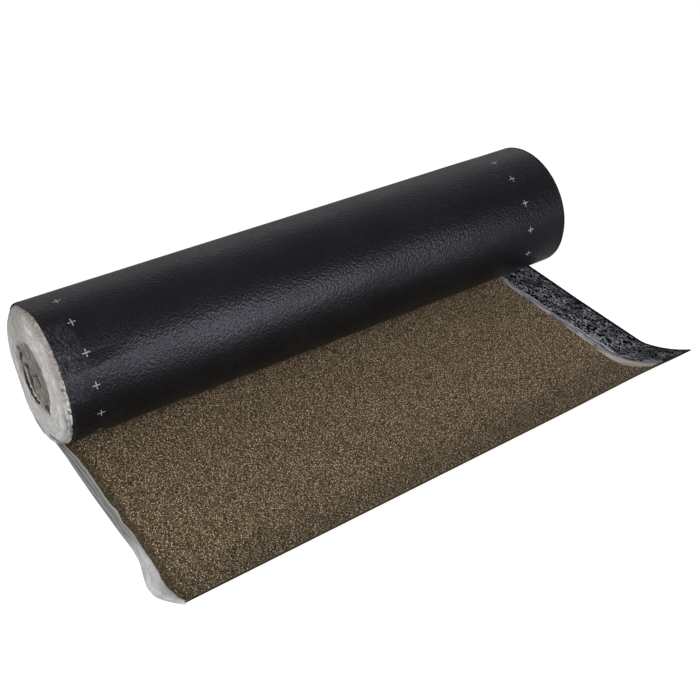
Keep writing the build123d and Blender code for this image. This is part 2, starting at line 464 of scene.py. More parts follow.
def film_face_material():
    """Black film on the sheet's outside: a stippled sheen, fine wrinkles by the left rim with painted
    highlights on them, and grey crosses.
    """
    material, graph, shader = new_material("film_face")
    place = graph.attribute("sheet_place", "Vector")
    parts = graph.add("ShaderNodeSeparateXYZ", {"Vector": place}).outputs
    across, along = parts[0], parts[1]
    crinkle = crinkled(graph, place, 9.0, 260.0, 1.0)
    reach = [float(length_wound(math.radians(angle))) for angle in (196, 214, 240, 250, 266, 228.1, 231.3)]
    front = graph.times(graph.between(along, reach[0], reach[1]), graph.between(along, reach[4], reach[3]))
    rim = graph.times(graph.between(across, LEFT + 0.046, LEFT + 0.014), front)
    slant = graph.math("MULTIPLY_ADD", along, -0.25, across)
    slanted = graph.add("ShaderNodeCombineXYZ", {"X": slant, "Y": along}).outputs[0]
    pulled = graph.lines(graph.streaks(slanted, (300.0, 90.0, 1.0), 2.0, 0.55, 1.0), 0.055)
    pulled = graph.times(pulled, rim)
    rise = graph.math("DIVIDE", graph.less(along, reach[2] - 0.022), 0.022, clamp=True)
    fall = graph.math("DIVIDE", graph.less(reach[2] + 0.09, along), 0.09, clamp=True)
    crease = graph.math("MINIMUM", rise, fall)
    crease = graph.times(crease, graph.between(across, LEFT + 0.13, LEFT + 0.05))
    sag = graph.streaks(place, (5.0, 11.0, 1.0), 1.0, 0.4)
    worn = graph.noise(place, 7.0, 4.0, 0.6)
    crosses = graph.most(cross_mask(graph, across, along, LEFT + 0.0438, reach[5]),
                         cross_mask(graph, across, along, RIGHT - 0.0857, reach[6]))
    crosses = graph.times(crosses, graph.between(graph.noise(place, 330.0, 2.0, 0.6), 0.28, 0.45))
    dusty = graph.mix(graph.between(worn, 0.35, 0.75), colours().film_face, colours().film_dust)
    # The wrinkle lines are coloured lighter: a painted highlight along the wrinkles
    dusty = graph.mix(graph.times(pulled, 0.8), dusty, FILM_WRINKLE_HIGHLIGHT)
    specks = graph.add("ShaderNodeTexVoronoi", {"Vector": place, "Scale": 42.0}).outputs
    few = graph.add("ShaderNodeSeparateColor", {"Color": specks["Color"]}).outputs[0]
    specks = graph.times(graph.between(specks["Distance"], 0.05, 0.025), graph.between(few, 0.7, 0.75))
    dusty = graph.mix(graph.times(specks, 0.6), dusty, FILM_SPECK)
    rough = graph.math("MULTIPLY_ADD", worn, 0.5, graph.times(crinkle["Stipple"], 0.5))
    rough = graph.between(rough, 0.42, 0.72, 0.4, 0.22)
    bled = graph.between(across, RIGHT - 0.006, RIGHT - 0.0035)
    grain = graph.bump(crinkle["Stipple"], 1.0, 0.0006)
    folds = graph.bump(crinkle["Fold"], 0.12, 0.0012, graph.bump(sag, 1.0, 0.004, grain))
    folds = graph.bump(graph.less(1.0, crease), 1.0, 0.004, folds)
    graph.fill(shader, {
        "Base Color": graph.mix(crosses, dusty, colours().ink),
        "Roughness": graph.math("MULTIPLY_ADD", bled, 0.6, rough, clamp=True),
        "Specular IOR Level": 0.3, "Specular Tint": (0.83, 0.84, 1.0),
        "Normal": graph.bump(pulled, 0.8, 0.0012, folds)})
    return material


def granule_material(name, tinted):
    """Mineral grains, either as the bed pressed into the felt or as loose grains with their own tint."""
    material, graph, shader = new_material(name)
    place = graph.attribute("sheet_place", "Vector")
    speckle = graph.group(mineral_speckle(), {
        "Vector": place, "Tint": graph.attribute("grain_tint") if tinted else 0.5,
        "Dark": colours().grain_dark, "Middle": colours().grain_mid, "Light": colours().grain_light})
    ragged = graph.times(graph.noise(place, 110.0, 3.0, 0.7), 0.016)
    ragged = graph.math("ADD", graph.attribute("from_left"), ragged)
    bleed = graph.times(graph.between(ragged, 0.025, 0.017), 0.65)
    graph.fill(shader, {
        "Base Color": graph.mix(bleed, speckle["Color"], colours().bled_edge),
        "Roughness": 0.8, "Specular IOR Level": 0.35,
        "Normal": graph.bump(speckle["Height"], 0.7, 0.0009)})
    return material


def bitumen_material(name):
    """Cut edges and bare bitumen: near black, slightly torn, with the granules' layer along a cut's top."""
    material, graph, shader = new_material(name)
    torn = graph.noise(graph.attribute("sheet_place", "Vector"), 240.0, 4.0, 0.6)
    black = graph.mix(torn, colours().bitumen, TORN_BITUMEN)
    layer = graph.shifted(graph.attribute("granule_layer"), torn, 0.6)
    layer = graph.times(graph.between(layer, 0.76, 0.94), 0.8)
    graph.fill(shader, {
        "Base Color": graph.mix(layer, black, colours().grain_mid),
        "Roughness": graph.between(torn, 0.2, 0.8, 0.65, 0.9), "Specular IOR Level": 0.2,
        "Normal": graph.bump(torn, 0.6, 0.0008)})
    return material


def end_film_material():
    """Pale film gathered over the roll's end, brown where it is stuffed into the middle, with painted shade
    in its slits, creases and fold lines and over its top and back, and a painted highlight along one crest.
    """
    material, graph, shader = new_material("end_film")
    place = graph.attribute("film_place", "Vector")
    core, recess_shade, brim, top_shade, crest_highlight = map(graph.attribute, ("core", "recess_shade", "brim", "top_shade", "crest_highlight"))
    streak = graph.streaks(place, (420.0, 40.0, 40.0), 4.0, 0.6, 0.5)
    cloud = graph.noise(place, 60.0, 4.0, 0.6)
    # Thin dark lines: painted shade along the crumpled film's fine fold lines
    fold_shade = graph.lines(graph.streaks(place, (230.0, 60.0, 60.0), 3.0, 0.6, 1.0), 0.035)
    pale = graph.mix(graph.between(streak, 0.42, 0.6), END_STREAK, colours().release_film)
    pale = graph.mix(graph.between(cloud, 0.5, 0.68), pale, END_CLOUD)
    pale = graph.mix(graph.times(fold_shade, 0.6), pale, END_FOLD_SHADE)
    grey = graph.mix(graph.between(streak, 0.4, 0.58), BRIM_DARK, BRIM_LIGHT)
    pale = graph.mix(graph.times(brim, 0.85), pale, grey)
    lapped = graph.shifted(brim, graph.noise(place, 170.0, 3.0, 0.65), 1.1)
    pale = graph.mix(graph.between(lapped, 1.08, 1.14), pale, colours().film_dust)
    # Painted shade: darker towards the top and back of the end film
    pale = graph.mix(graph.times(top_shade, 0.8), pale, END_TOP_SHADE)
    speck = graph.noise(place, 420.0, 2.0, 0.6)
    worn = graph.most(top_shade, brim)
    pale = graph.mix(graph.times(worn, graph.between(speck, 0.5, 0.62, 0.0, 0.6)), pale, WORN_DARK)
    pale = graph.mix(graph.times(worn, graph.between(speck, 0.46, 0.34, 0.0, 0.35)), pale, WORN_LIGHT)
    brown = graph.mix(graph.between(cloud, 0.4, 0.65), colours().core_film, CORE_LIGHT)
    # Painted shade along fold lines in the core
    brown = graph.mix(graph.times(fold_shade, 0.7), brown, CORE_FOLD_SHADE)
    # A painted highlight along the crest of one fold
    colour = graph.mix(crest_highlight, graph.mix(core, pale, brown), CREST_HIGHLIGHT)
    lines = graph.bump(streak, 0.8, 0.0011)
    crinkle = crinkled(graph, place, 90.0, 500.0, 0.15)
    graph.fill(shader, {
        # Painted shade in the slits and in the core's creases
        "Base Color": graph.mix(recess_shade, colour, SLIT_SHADE),
        "Roughness": graph.between(streak, 0.2, 0.8, 0.5, 0.7), "Specular IOR Level": 0.12,
        "Subsurface Weight": 0.15, "Subsurface Radius": (0.004, 0.004, 0.004), "Subsurface Scale": 1.0,
        "Normal": graph.bump(crinkle["Height"], 0.6, 0.0011, lines)})
    return material


def edge_film_material():
    """Clear thin film beside the free end: milky where it is folded double, grey where it lies single."""
    material, graph, shader = new_material("edge_film")
    place = graph.attribute("film_place", "Vector")
    milk, hem = graph.attribute("milk"), graph.attribute("hem")
    streak = graph.streaks(place, (420.0, 12.0, 1.0), 4.0, 0.6, 0.6)
    grey = graph.mix(graph.between(streak, 0.4, 0.6), SINGLE_DARK, SINGLE_LIGHT)
    cloud = graph.streaks(place, (90.0, 40.0, 1.0), 3.0, 0.6, 0.8)
    white = graph.mix(graph.between(cloud, 0.4, 0.62), DOUBLE_DARK, DOUBLE_LIGHT)
    thick = graph.math("ADD", milk, graph.times(streak, 0.6))
    crinkle = crinkled(graph, place, 45.0, 300.0, 0.1)
    graph.fill(shader, {
        "Base Color": graph.mix(hem, graph.mix(milk, grey, white), HEM_SHADE),
        "Alpha": graph.between(thick, 0.1, 1.1, 0.8, 0.95), "Roughness": 0.35,
        "Normal": graph.bump(crinkle["Height"], 0.25, 0.0008)})
    return material


def selvedge_film_material():
    """Dark film on the selvedge with grey flecks of painted reflection, and its pale lip along the granules.
    """
    material, graph, shader = new_material("selvedge_film")
    place = graph.attribute("sheet_place", "Vector")
    lip, milk, hem = map(graph.attribute, ("lip", "milk", "hem"))
    drawn = graph.stretched(place, (1.0, 0.6, 1.0))
    curl = graph.lines(graph.noise(drawn, 80.0, 2.0, 0.6, 2.0), 0.04, 0.012)
    blot = graph.between(graph.noise(drawn, 150.0, 1.5, 0.5, 1.2), 0.57, 0.62)
    patch = graph.between(graph.noise(place, 26.0, 2.0, 0.5, 0.5), 0.4, 0.6, 0.5, 1.0)
    # Flecks of painted reflection on the crinkled selvedge film, which has no specular of its own
    reflection_fleck = graph.times(graph.most(curl, blot), patch)
    reflection_fleck = graph.times(reflection_fleck, graph.between(hem, 0.0015, 0.0045))
    glinting_film = graph.mix(reflection_fleck, colours().selvedge_film, colours().selvedge_glint)
    streak = graph.streaks(place, (230.0, 26.0, 1.0), 3.0, 0.6, 0.6)
    dull = graph.mix(graph.between(streak, 0.42, 0.6), LIP_DARK, LIP_LIGHT)
    pale = graph.mix(graph.between(streak, 0.35, 0.65), MILKY_DARK, MILKY_LIGHT)
    ragged = graph.shifted(graph.shifted(lip, streak, 1.2), curl, 0.12)
    edge = graph.times(milk, graph.between(lip, 0.5, 0.7))
    crinkle = crinkled(graph, place, 120.0, 500.0, 0.2)
    graph.fill(shader, {
        "Base Color": graph.mix(graph.between(ragged, 0.22, 0.34), glinting_film, graph.mix(edge, dull, pale)),
        "Roughness": graph.between(curl, 0.0, 1.0, 0.36, 0.5), "Specular IOR Level": 0.0,
        "Normal": graph.bump(crinkle["Height"], 0.6, 0.0012)})
    return material


# Pieces

def sheet_columns(fine):
    """Places across the sheet, from 0 to 1 up to the selvedge and from 1 to 2 over it."""
    if fine:
        main = [0.0, 0.0009, 0.0022, 0.005, 0.01, 0.016, *np.linspace(0.026, 0.985, 42), 0.9993]
        return np.array([*main, 1.004, *np.linspace(1.1, 1.9, 5), 1.96, 1.986, 2.0])
    return np.array([0.0, 0.0009, 0.03, 0.5, 0.97, 0.9993, 1.004, 1.5, 1.986, 2.0])


def sheet_row(place, turn, out):
    """One row of the sheet, on the winding at turn or else out on the free end.

    Gives its low points, high points, places on the flat sheet and distances from the left edge.
    """
    size = sizes()
    lap = place > 1
    if turn is None:
        start, line, end = (float(edge(np.array([out]))[0]) for edge in (left_edge, lap_line, right_edge))
        along = -out
    else:
        drift = 0.0048 * turned(150, 275, turn)
        drift += 0.0028 * turned(270, 300, turn)
        drift *= 1 - turned(335, 420, turn)
        slip = 0.0012 * (1 + noise.noise(Vector((turn * 0.7, 3.3, 0.0)))) / 2
        fray = 0.0014 * (1 + noise.noise(Vector((turn * 0.6, 9.1, 0.0)))) / 2
        waver = (float(left_edge(np.array([0.0]))[0]) - LEFT) * math.exp(-turn * 6)
        start = LEFT + slip + 0.3 * drift + waver
        line = RIGHT - size.selvedge_width + 0.8 * drift
        end = RIGHT + drift - fray * turned(320, 420, turn)
        along = float(length_wound(turn))
    x = np.where(lap, line + (end - line) * (place - 1), start + (line - start) * place)
    rim = np.minimum(x - start, end - x)
    worn_rim = 0.0011
    taper = 0.16 * size.thickness * (1 - smooth(0.0, worn_rim, rim))
    grain_room = 0.0005 if turn is None else 0.0001
    thick = size.thickness - grain_room
    top = np.where(lap, size.thickness - size.granule_depth, thick) - taper
    if turn is None:
        thinning, thinned_width = 0.0016, 0.012
        top = top - thinning * (1 - smooth(0.0, thinned_width, x - start))
        low = flap_points(x, np.full_like(x, out), taper)
        high = flap_points(x, np.full_like(x, out), top)
    else:
        low = roll_points(x, turn, taper - fullness(x, turn))
        high = roll_points(x, turn, top - fullness(x, turn))
    covered = LEFT + (WIDTH - size.selvedge_width) * place
    nominal = np.where(lap, RIGHT - size.selvedge_width * (2 - place), covered)
    spot = np.stack([nominal, np.full_like(x, along), np.zeros_like(x)], axis=-1)
    return low, high, spot, x - start


def sheet_part(outs, turns, fine):
    """One stretch of the sheet, on the free end and then round the roll: points, faces, slots and values."""
    place = sheet_columns(fine)
    rows = [sheet_row(place, None, out) for out in outs] + [sheet_row(place, turn, None) for turn in turns]
    low, high, spot, inset = (np.array(part) for part in zip(*rows))
    points, faces, sides = slab(low, high)
    slots = np.where(sides == 0, 0, 3)
    slots[sides == 1] = np.where(np.tile(place[1:] > 1, len(rows) - 1), 2, 1)
    spot = spot.reshape(-1, 3)
    values = {
        "sheet_place": np.concatenate([spot, spot + np.array([0, 0, 0.05])]),
        "from_left": np.concatenate([inset.ravel(), inset.ravel()]),
        "granule_layer": np.concatenate([np.zeros(inset.size), np.tile(place <= 1, len(rows))]),
    }
    return points, faces, slots, values


def film_frill():
    """Ragged edge of the black film, drawn over the roll's left rim: points, faces, slots and values."""
    turn = np.radians(np.arange(12.0, 352.0, 1.0))
    share = np.linspace(0, 1, 9)
    behind = turned(190, 172, turn) * turned(95, 140, turn)
    ragged = 0.0004 + 0.004 * behind + 0.0012 * ripple(turn, 5.0, 11) + 0.0026 * ripple(turn, 17.0, 12)
    ragged = ragged + 0.002 * ripple(turn, 41.0, 13)
    overlap, thin = 0.003, 0.0002
    reach = np.clip(ragged, -0.0012, None) + overlap
    x = LEFT + overlap - reach[:, None] * share[None]
    past = np.clip(LEFT - x, 0.0, None) * 1000
    inward = 0.00008 * past**1.95 - thin - fullness(LEFT, turn)[:, None]
    around = np.repeat(turn[:, None], len(share), axis=1)
    points, faces, _ = slab(roll_points(x, around, inward), roll_points(x, around, inward + thin))
    spot = np.stack([x, length_wound(around), np.full_like(x, 0.02)], axis=-1).reshape(-1, 3)
    values = {"sheet_place": np.concatenate([spot, spot])}
    values.update({key: np.zeros(2 * len(spot)) for key in ("from_left", "granule_layer")})
    return points, faces, np.zeros(len(faces), int), values


class FELTROLL_OT_felt_sheet(bpy.types.Operator):
    """Wind the felt sheet and lay out its curled free end"""

    bl_idname = "feltroll.felt_sheet"
    bl_label = "Felt Sheet"

    def execute(self, context):
        size = sizes()
        wound = math.tau * ((ROLL_RADIUS - BORE_RADIUS) / size.thickness - 1)
        seam = math.degrees(math.tau) + 40
        outs = np.concatenate([np.linspace(size.flap_length, 0.33, 48), np.linspace(0.325, 0.0, 66)])
        parts = [
            sheet_part(outs, np.radians(np.arange(2.5, seam + 0.1, 2.5)), True),
            sheet_part([], np.radians(np.arange(seam, math.degrees(wound) + 0.1, 5.0)), False),
            film_frill(),
        ]
        shift = np.cumsum([0] + [len(part[0]) for part in parts])
        points = np.concatenate([part[0] for part in parts])
        faces = [face for part, first in zip(parts, shift) for face in (part[1] + first).tolist()]
        slots = np.concatenate([part[2] for part in parts])
        values = {key: np.concatenate([part[3][key] for part in parts]) for key in parts[0][3]}
        materials = [film_face_material(), granule_material("granule_bed", False),
                     bitumen_material("bare_selvedge"), bitumen_material("cut_edge")]
        piece = new_piece("felt_sheet", points, faces, materials, slots, values)
        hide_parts("felt")
        return {"FINISHED"}


class FELTROLL_OT_grains(bpy.types.Operator):
    """Scatter light and dark mineral grains over the free end"""

    bl_idname = "feltroll.grains"
    bl_label = "Mineral Grains"

    def execute(self, context):
        self.scatter("light_grains", seed=31, tones=(0.7, 1.15), radii=(0.0008, 0.0013), shift=0.0)
        self.scatter("dark_grains", seed=47, tones=(-0.5, -0.05), radii=(0.0012, 0.00175), shift=0.5)
        return {"FINISHED"}

    def scatter(self, name, seed, tones, radii, shift):
        """One tone's grains, on a jittered grid that is shifted by this share of its cells."""
        size = sizes()
        draw = np.random.default_rng(seed)
        count = size.grain_count
        rows = math.isqrt(count // 2)
        place = np.arange(count)
        columns = math.ceil(count / rows)
        margin, free = 0.15, 0.7
        row = place // columns + shift + margin + free * draw.random(count)
        column = place % columns + shift + margin + free * draw.random(count)
        out = 0.008 + (size.flap_length - 0.0082) * np.mod(row / rows, 1.0)
        share = np.mod(column / columns, 1.0)
        start = left_edge(out) + 0.002 + 0.006 * draw.random(count)
        end = lap_line(out) - lip_reach(out) - 0.0005
        x = start + (end - start) * share
        sunk = 0.00055
        centre = flap_points(x, out, np.full(count, size.thickness - sunk))
        spin = draw.normal(size=(count, 4))
        spin /= np.linalg.norm(spin, axis=1)[:, None]
        w, i, j, k = spin.T
        turn = np.stack([
            np.stack([1 - 2 * (j * j + k * k), 2 * (i * j - k * w), 2 * (i * k + j * w)], axis=-1),
            np.stack([2 * (i * j + k * w), 1 - 2 * (i * i + k * k), 2 * (j * k - i * w)], axis=-1),
            np.stack([2 * (i * k - j * w), 2 * (j * k + i * w), 1 - 2 * (i * i + j * j)], axis=-1),
        ], axis=1)
        tips = np.array([[1, 0, 0], [0, 1, 0], [-1, 0, 0], [0, -1, 0], [0, 0, 1], [0, 0, -1]], float)
        reach = draw.uniform(0.6, 1.25, (count, 6, 1)) * draw.uniform(*radii, (count, 1, 1))
        corners = np.einsum("nij,nvj->nvi", turn, tips[None] * reach)
        flatness = 0.75
        corners[..., 2] *= flatness
        upper = [[0, 1, 4], [1, 2, 4], [2, 3, 4], [3, 0, 4]]
        lower = [[1, 0, 5], [2, 1, 5], [3, 2, 5], [0, 3, 5]]
        triangles = np.array(upper + lower)
        faces = (triangles[None] + 6 * np.arange(count)[:, None, None]).reshape(-1, 3)
        tint = np.repeat(draw.uniform(*tones, count), 6)
        inset = np.repeat(x - left_edge(out), 6)
        spot = np.repeat(np.stack([x, -out, np.full(count, 0.3)], axis=-1), 6, axis=0)
        values = {"grain_tint": tint, "sheet_place": spot, "from_left": inset}
        piece = new_piece(name, centre[:, None, :] + corners, faces.tolist(), [granule_material(name, True)],
                          None, values, math.radians(5))


class FELTROLL_OT_end_film(bpy.types.Operator):
    """Gather the pale film over the roll's left end"""

    bl_idname = "feltroll.end_film"
    bl_label = "End Film"

    # Slits between the crumpled layers, each a path in millimetres with its half width in metres and how dark
    # its painted shade is, and the crest between two of them, which carries a painted highlight
    SLITS = (
        (((40, -1), (26, 7), (24, 2), (29, -14), (33, -30), (29, -37), (26, -40)), 0.0038, 1.0),
        (((26, -10), (30, -28)), 0.0075, 1.0),
        (((52, -11), (52, -26), (46, -38), (40, -45), (32, -51), (21, -56), (8, -57)), 0.0026, 0.8),
        (((50, 17), (56, 8), (57, 2)), 0.0034, 0.9),
        (((-17, -48), (-29, -41), (-30, -45), (-48, -37)), 0.003, 0.8),
        (((1, -6), (-4, -11), (-4, -16)), 0.0028, 0.75),
        (((-2, 25), (-12, 22)), 0.003, 0.45),
        (((2, 3), (10, -3)), 0.0026, 0.5),
        (((57, 27), (58, 20)), 0.003, 0.6),
        (((75, 24), (72, 21)), 0.003, 0.3),
        (((-34, -93), (-46, -89), (-58, -87), (-70, -86), (-84, -80)), 0.0028, 0.65),
    )
    # Path of the fold's crest, which carries a painted highlight
    CREST = ((41, 1), (42, -5), (38, -14), (39, -29), (37, -43), (28, -50), (18, -54), (5, -55))
    # In metres: how deep the slits are, how far back and how deep the core lies, and the film's layers
    SLIT_DEPTH = 0.0006
    CORE_BACK = 0.0035
    CORE_SINK = 0.0045
    LAYER_PITCH = 0.0085
    LAYER_RISE = 0.0008

    def execute(self, context):
        size = sizes()
        spokes = 360
        angle = np.arange(spokes) * math.tau / spokes
        outer_part = 0.30
        outer_rings = 1 - np.linspace(0, outer_part, 34) ** 1.6 / outer_part**0.6
        share = np.concatenate([outer_rings, np.linspace(0.695, 0.006, 76)])
        s, a = np.meshgrid(share, angle, indexing="ij")
        outer = self.outline(a)
        r = s * outer
        y, z = r * np.cos(a), r * np.sin(a)
        flat = np.stack([y, z, np.zeros_like(y)], axis=-1)
        swell = surface_noise(flat, 16.0, 3)
        wander = surface_noise(flat + 0.4, 22.0, 3)
        low = np.exp(-(((np.degrees(a) - 272) / 24) ** 2))
        side = np.exp(-((((np.degrees(a) + 180) % 360 - 180) / 45) ** 2))
        pillow = (size.end_film_depth + 0.004 * side) * (1 - s ** (7 + 70 * low)) ** 0.45
        inner = size.core_radius + 0.004 * wander
        core = 1 - smooth(inner - 0.007, inner + 0.006, np.hypot(y - self.CORE_BACK, z))
        brim = smooth(0.87, 0.985, s + 0.035 * wander)
        # Mask of painted shade, rising towards the top and back of the end film and along its upper brim
        top_shade = smooth(-0.02, 0.09, z + 0.03 * swell) * smooth(-0.03, 0.07, y)
        top_shade = np.maximum(top_shade, 0.9 * brim * smooth(0.0, 0.07, z + 0.02 * swell))
        layer = (r + 0.006 * swell + 0.0025 * np.sin(a + 0.6)) / self.LAYER_PITCH
        step = layer - np.floor(layer)
        step = np.where(step < 0.86, step / 0.86, (1 - step) / 0.14)
        face = smooth(1.0, 0.93, s) * (1 - core)
        height = pillow + 0.0013 * swell * smooth(1.0, 0.9, s) + self.LAYER_RISE * (step - 0.5) * face
        height = height - self.CORE_SINK * core
        fold = surface_noise(np.stack([y * 45, z * 18, 0 * y + 2.0], axis=-1), 1.0, 3)
        crease = 1 - np.clip(np.abs(fold) / 0.16, 0, 1)
        finer = surface_noise(np.stack([y * 100, z * 45, 0 * y + 7.0], axis=-1), 1.0, 2)
        crease = np.maximum(crease, 1.1 - np.clip(np.abs(finer) / 0.13, 0, 1.1))
        wavy = [line + 0.0022 * surface_noise(flat + seed, 110.0, 2) for line, seed in ((y, 1.3), (z, 2.7))]
        slits = np.maximum.reduce(
            [dark * self.along(*wavy, path, width) for path, width, dark in self.SLITS])
        # Mask of the painted highlight along the crest
        crest_highlight = self.along(*wavy, self.CREST, 0.0024) * (1 - 0.7 * slits)
        # Painted shade: the slits and the core's creases are coloured dark where shade falls in them
        recess_shade = np.clip(1.25 * slits + 0.4 * core * crease**2, 0, 1)
        calm = np.maximum.reduce([self.along(y, z, path, 2.4 * width) for path, width, _ in self.SLITS])
        relief = (0.0018 * np.abs(fold) - 0.001) * (1 - calm) - 0.001 * calm
        height = height + core * relief - self.SLIT_DEPTH * slits
        points = np.stack([LEFT - height, y, z + ROLL_RADIUS], axis=-1)
        index = np.arange(len(share) * spokes).reshape(len(share), spokes)
        after = np.roll(index, -1, axis=1)
        quads = np.stack([index[:-1], after[:-1], after[1:], index[1:]], axis=-1).reshape(-1, 4).tolist()
        quads.append(index[-1].tolist())
        quads.append(index[0][::-1].tolist())
        spot = np.stack([r, 0.06 * np.cos(a), 0.06 * np.sin(a)], axis=-1).reshape(-1, 3)
        masks = {"core": core, "recess_shade": recess_shade, "brim": brim, "top_shade": top_shade, "crest_highlight": crest_highlight}
        values = {"film_place": spot, **{key: mask.ravel() for key, mask in masks.items()}}
        piece = new_piece("end_gather", points.reshape(-1, 3), quads, [end_film_material()], None, values,
                          math.radians(70))
        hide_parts("release_film")
        return {"FINISHED"}

    def outline(self, angle):
        """Reach of the roll's end from its axis: its back is the outer turn and its front the next one in."""
        step = sizes().thickness / 2
        inner = ROLL_RADIUS - step
        front = step * np.sin(angle) + np.sqrt(inner**2 - (step * np.cos(angle)) ** 2)
        return np.where(np.cos(angle) > 0, ROLL_RADIUS, front) - 0.0007

    def along(self, y, z, path, width):
        """Mask of a fold along a path of places on the roll's end, in millimetres from its axis."""
        near = np.full(np.shape(y), np.inf)
        for start, end in zip(path[:-1], path[1:]):
            start, end = np.array(start) / 1000, np.array(end) / 1000
            run = end - start
            part = np.clip(((y - start[0]) * run[0] + (z - start[1]) * run[1]) / (run @ run), 0, 1)
            near = np.minimum(near, np.hypot(y - start[0] - part * run[0], z - start[1] - part * run[1]))
        return np.exp(-((near / width) ** 4))


class FELTROLL_OT_edge_film(bpy.types.Operator):
    """Lay the film margin beside the free end's left edge"""

    bl_idname = "feltroll.edge_film"
    bl_label = "Edge Film"

    def execute(self, context):
        tip = sizes().flap_length
        out = np.linspace(-0.045, tip, 174)
        inner = self.felt_line(out, 0.0023)
        outer = self.outer_line(out)
        top = np.linspace(0, 1, 17)[None, :, None]
        known = [-0.03, 0.0, 0.25, 0.32, 0.375, 0.43, tip]
        swell = np.interp(out, known, [0.4, 0.8, 1.0, 2.0, 4.2, 2.2, 0.3]) / 1000
        pleat = np.sin(top[..., 0] * 20 + 2.4 * ripple(out, 9.0, 4)[:, None] + 9 * out[:, None])
        pleat = pleat * (1 - 0.85 * smooth(0.29, 0.35, out))[:, None]
        bulge = swell[:, None] * np.sin(math.pi * top[..., 0]) ** 0.8
        bulge = bulge + 0.0008 * pleat * np.sin(math.pi * top[..., 0])
        over = inner[:, None] + (outer - inner)[:, None] * top
        over[..., 2] += bulge
        over[..., 0] -= 0.35 * bulge
        back = np.linspace(0, 1, 10)[None, 1:, None]
        tucked = self.felt_line(out, 0.0001)
        under = outer[:, None] + (tucked - outer)[:, None] * back
        points = np.concatenate([over, under], axis=1)
        columns = points.shape[1]
        run = np.linspace(0, 0.04, columns)[None] + 0 * out[:, None]
        spot = np.stack([run, -out[:, None] + 0 * run, np.zeros_like(run)], axis=-1)
        open_end = smooth(0.27, 0.345, out)[:, None]
        hem = np.exp(-((np.arange(columns)[None] - 1.0) / 1.5) ** 2) * (1 - 0.6 * open_end) + 0 * run
        milk = np.clip(0.05 + 0.95 * open_end, 0, 1) + 0 * run
        faces = grid_faces(len(out), columns, 0, True).tolist()
        values = {"film_place": spot.reshape(-1, 3), "milk": milk.ravel(), "hem": hem.ravel()}
        piece = new_piece("edge_margin", points, faces, [edge_film_material()], None, values,
                          math.radians(80))
        shell = piece.modifiers.new("film_thickness", "SOLIDIFY")
        shell.thickness = 0.00012
        shell.offset = 1.0
        return {"FINISHED"}

    def felt_line(self, out, height):
        """Line just inside the felt's left edge, this high in the sheet, on the free end and up the roll."""
        tuck = 0.0016
        away = np.clip(out, 0, None)
        edge = left_edge(away) + tuck
        level = np.full_like(out, height)
        on_flap = flap_points(edge, away, level)
        on_roll = roll_points(edge, np.clip(-out, 0, None) / ROLL_RADIUS, level)
        return np.where(out[:, None] < 0, on_roll, on_flap)

    def outer_line(self, out):
        """Outer fold of the film, on the floor until it rises to the curled corner."""
        known = [-0.045, -0.018, 0.0, 0.017, 0.07, 0.1, 0.17, 0.26,
                 0.305, 0.335, 0.36, 0.385, 0.41, 0.43, 0.45, 0.466]
        aside = [9.5, 10.2, 7.0, 4.0, 3.6, 4.8, 6.4, 6.6, 5.8, 8.6, 16.0, 22.0, 21.0, 13.8, 5.6, 0.6]
        lift = [3.0, 0.5, 0.4, 0.4, 0.4, 0.4, 0.4, 0.4, 0.4, 0.4, 0.4, 0.5, 2.5, 8.0, 15.5, 24.5]
        fine = np.linspace(known[0], known[-1], 600)
        reach = 15
        blur = np.hanning(2 * reach + 1)
        blur = blur / blur.sum()

        def rounded(values):
            padded = np.pad(np.interp(fine, known, values), reach, mode="reflect", reflect_type="odd")
            return np.interp(out, fine, np.convolve(padded, blur, mode="valid")) / 1000

        tip = flap_points(np.array([LEFT]), np.array([known[-1]]), np.array([0.0]))[0]
        rise = 0.36
        forward = np.interp(out, [rise, known[-1]], [-rise, tip[1]])
        y = np.where(out < rise, -out, forward)
        return np.stack([LEFT - rounded(aside), y, np.clip(rounded(lift), 0.0004, None)], axis=-1)


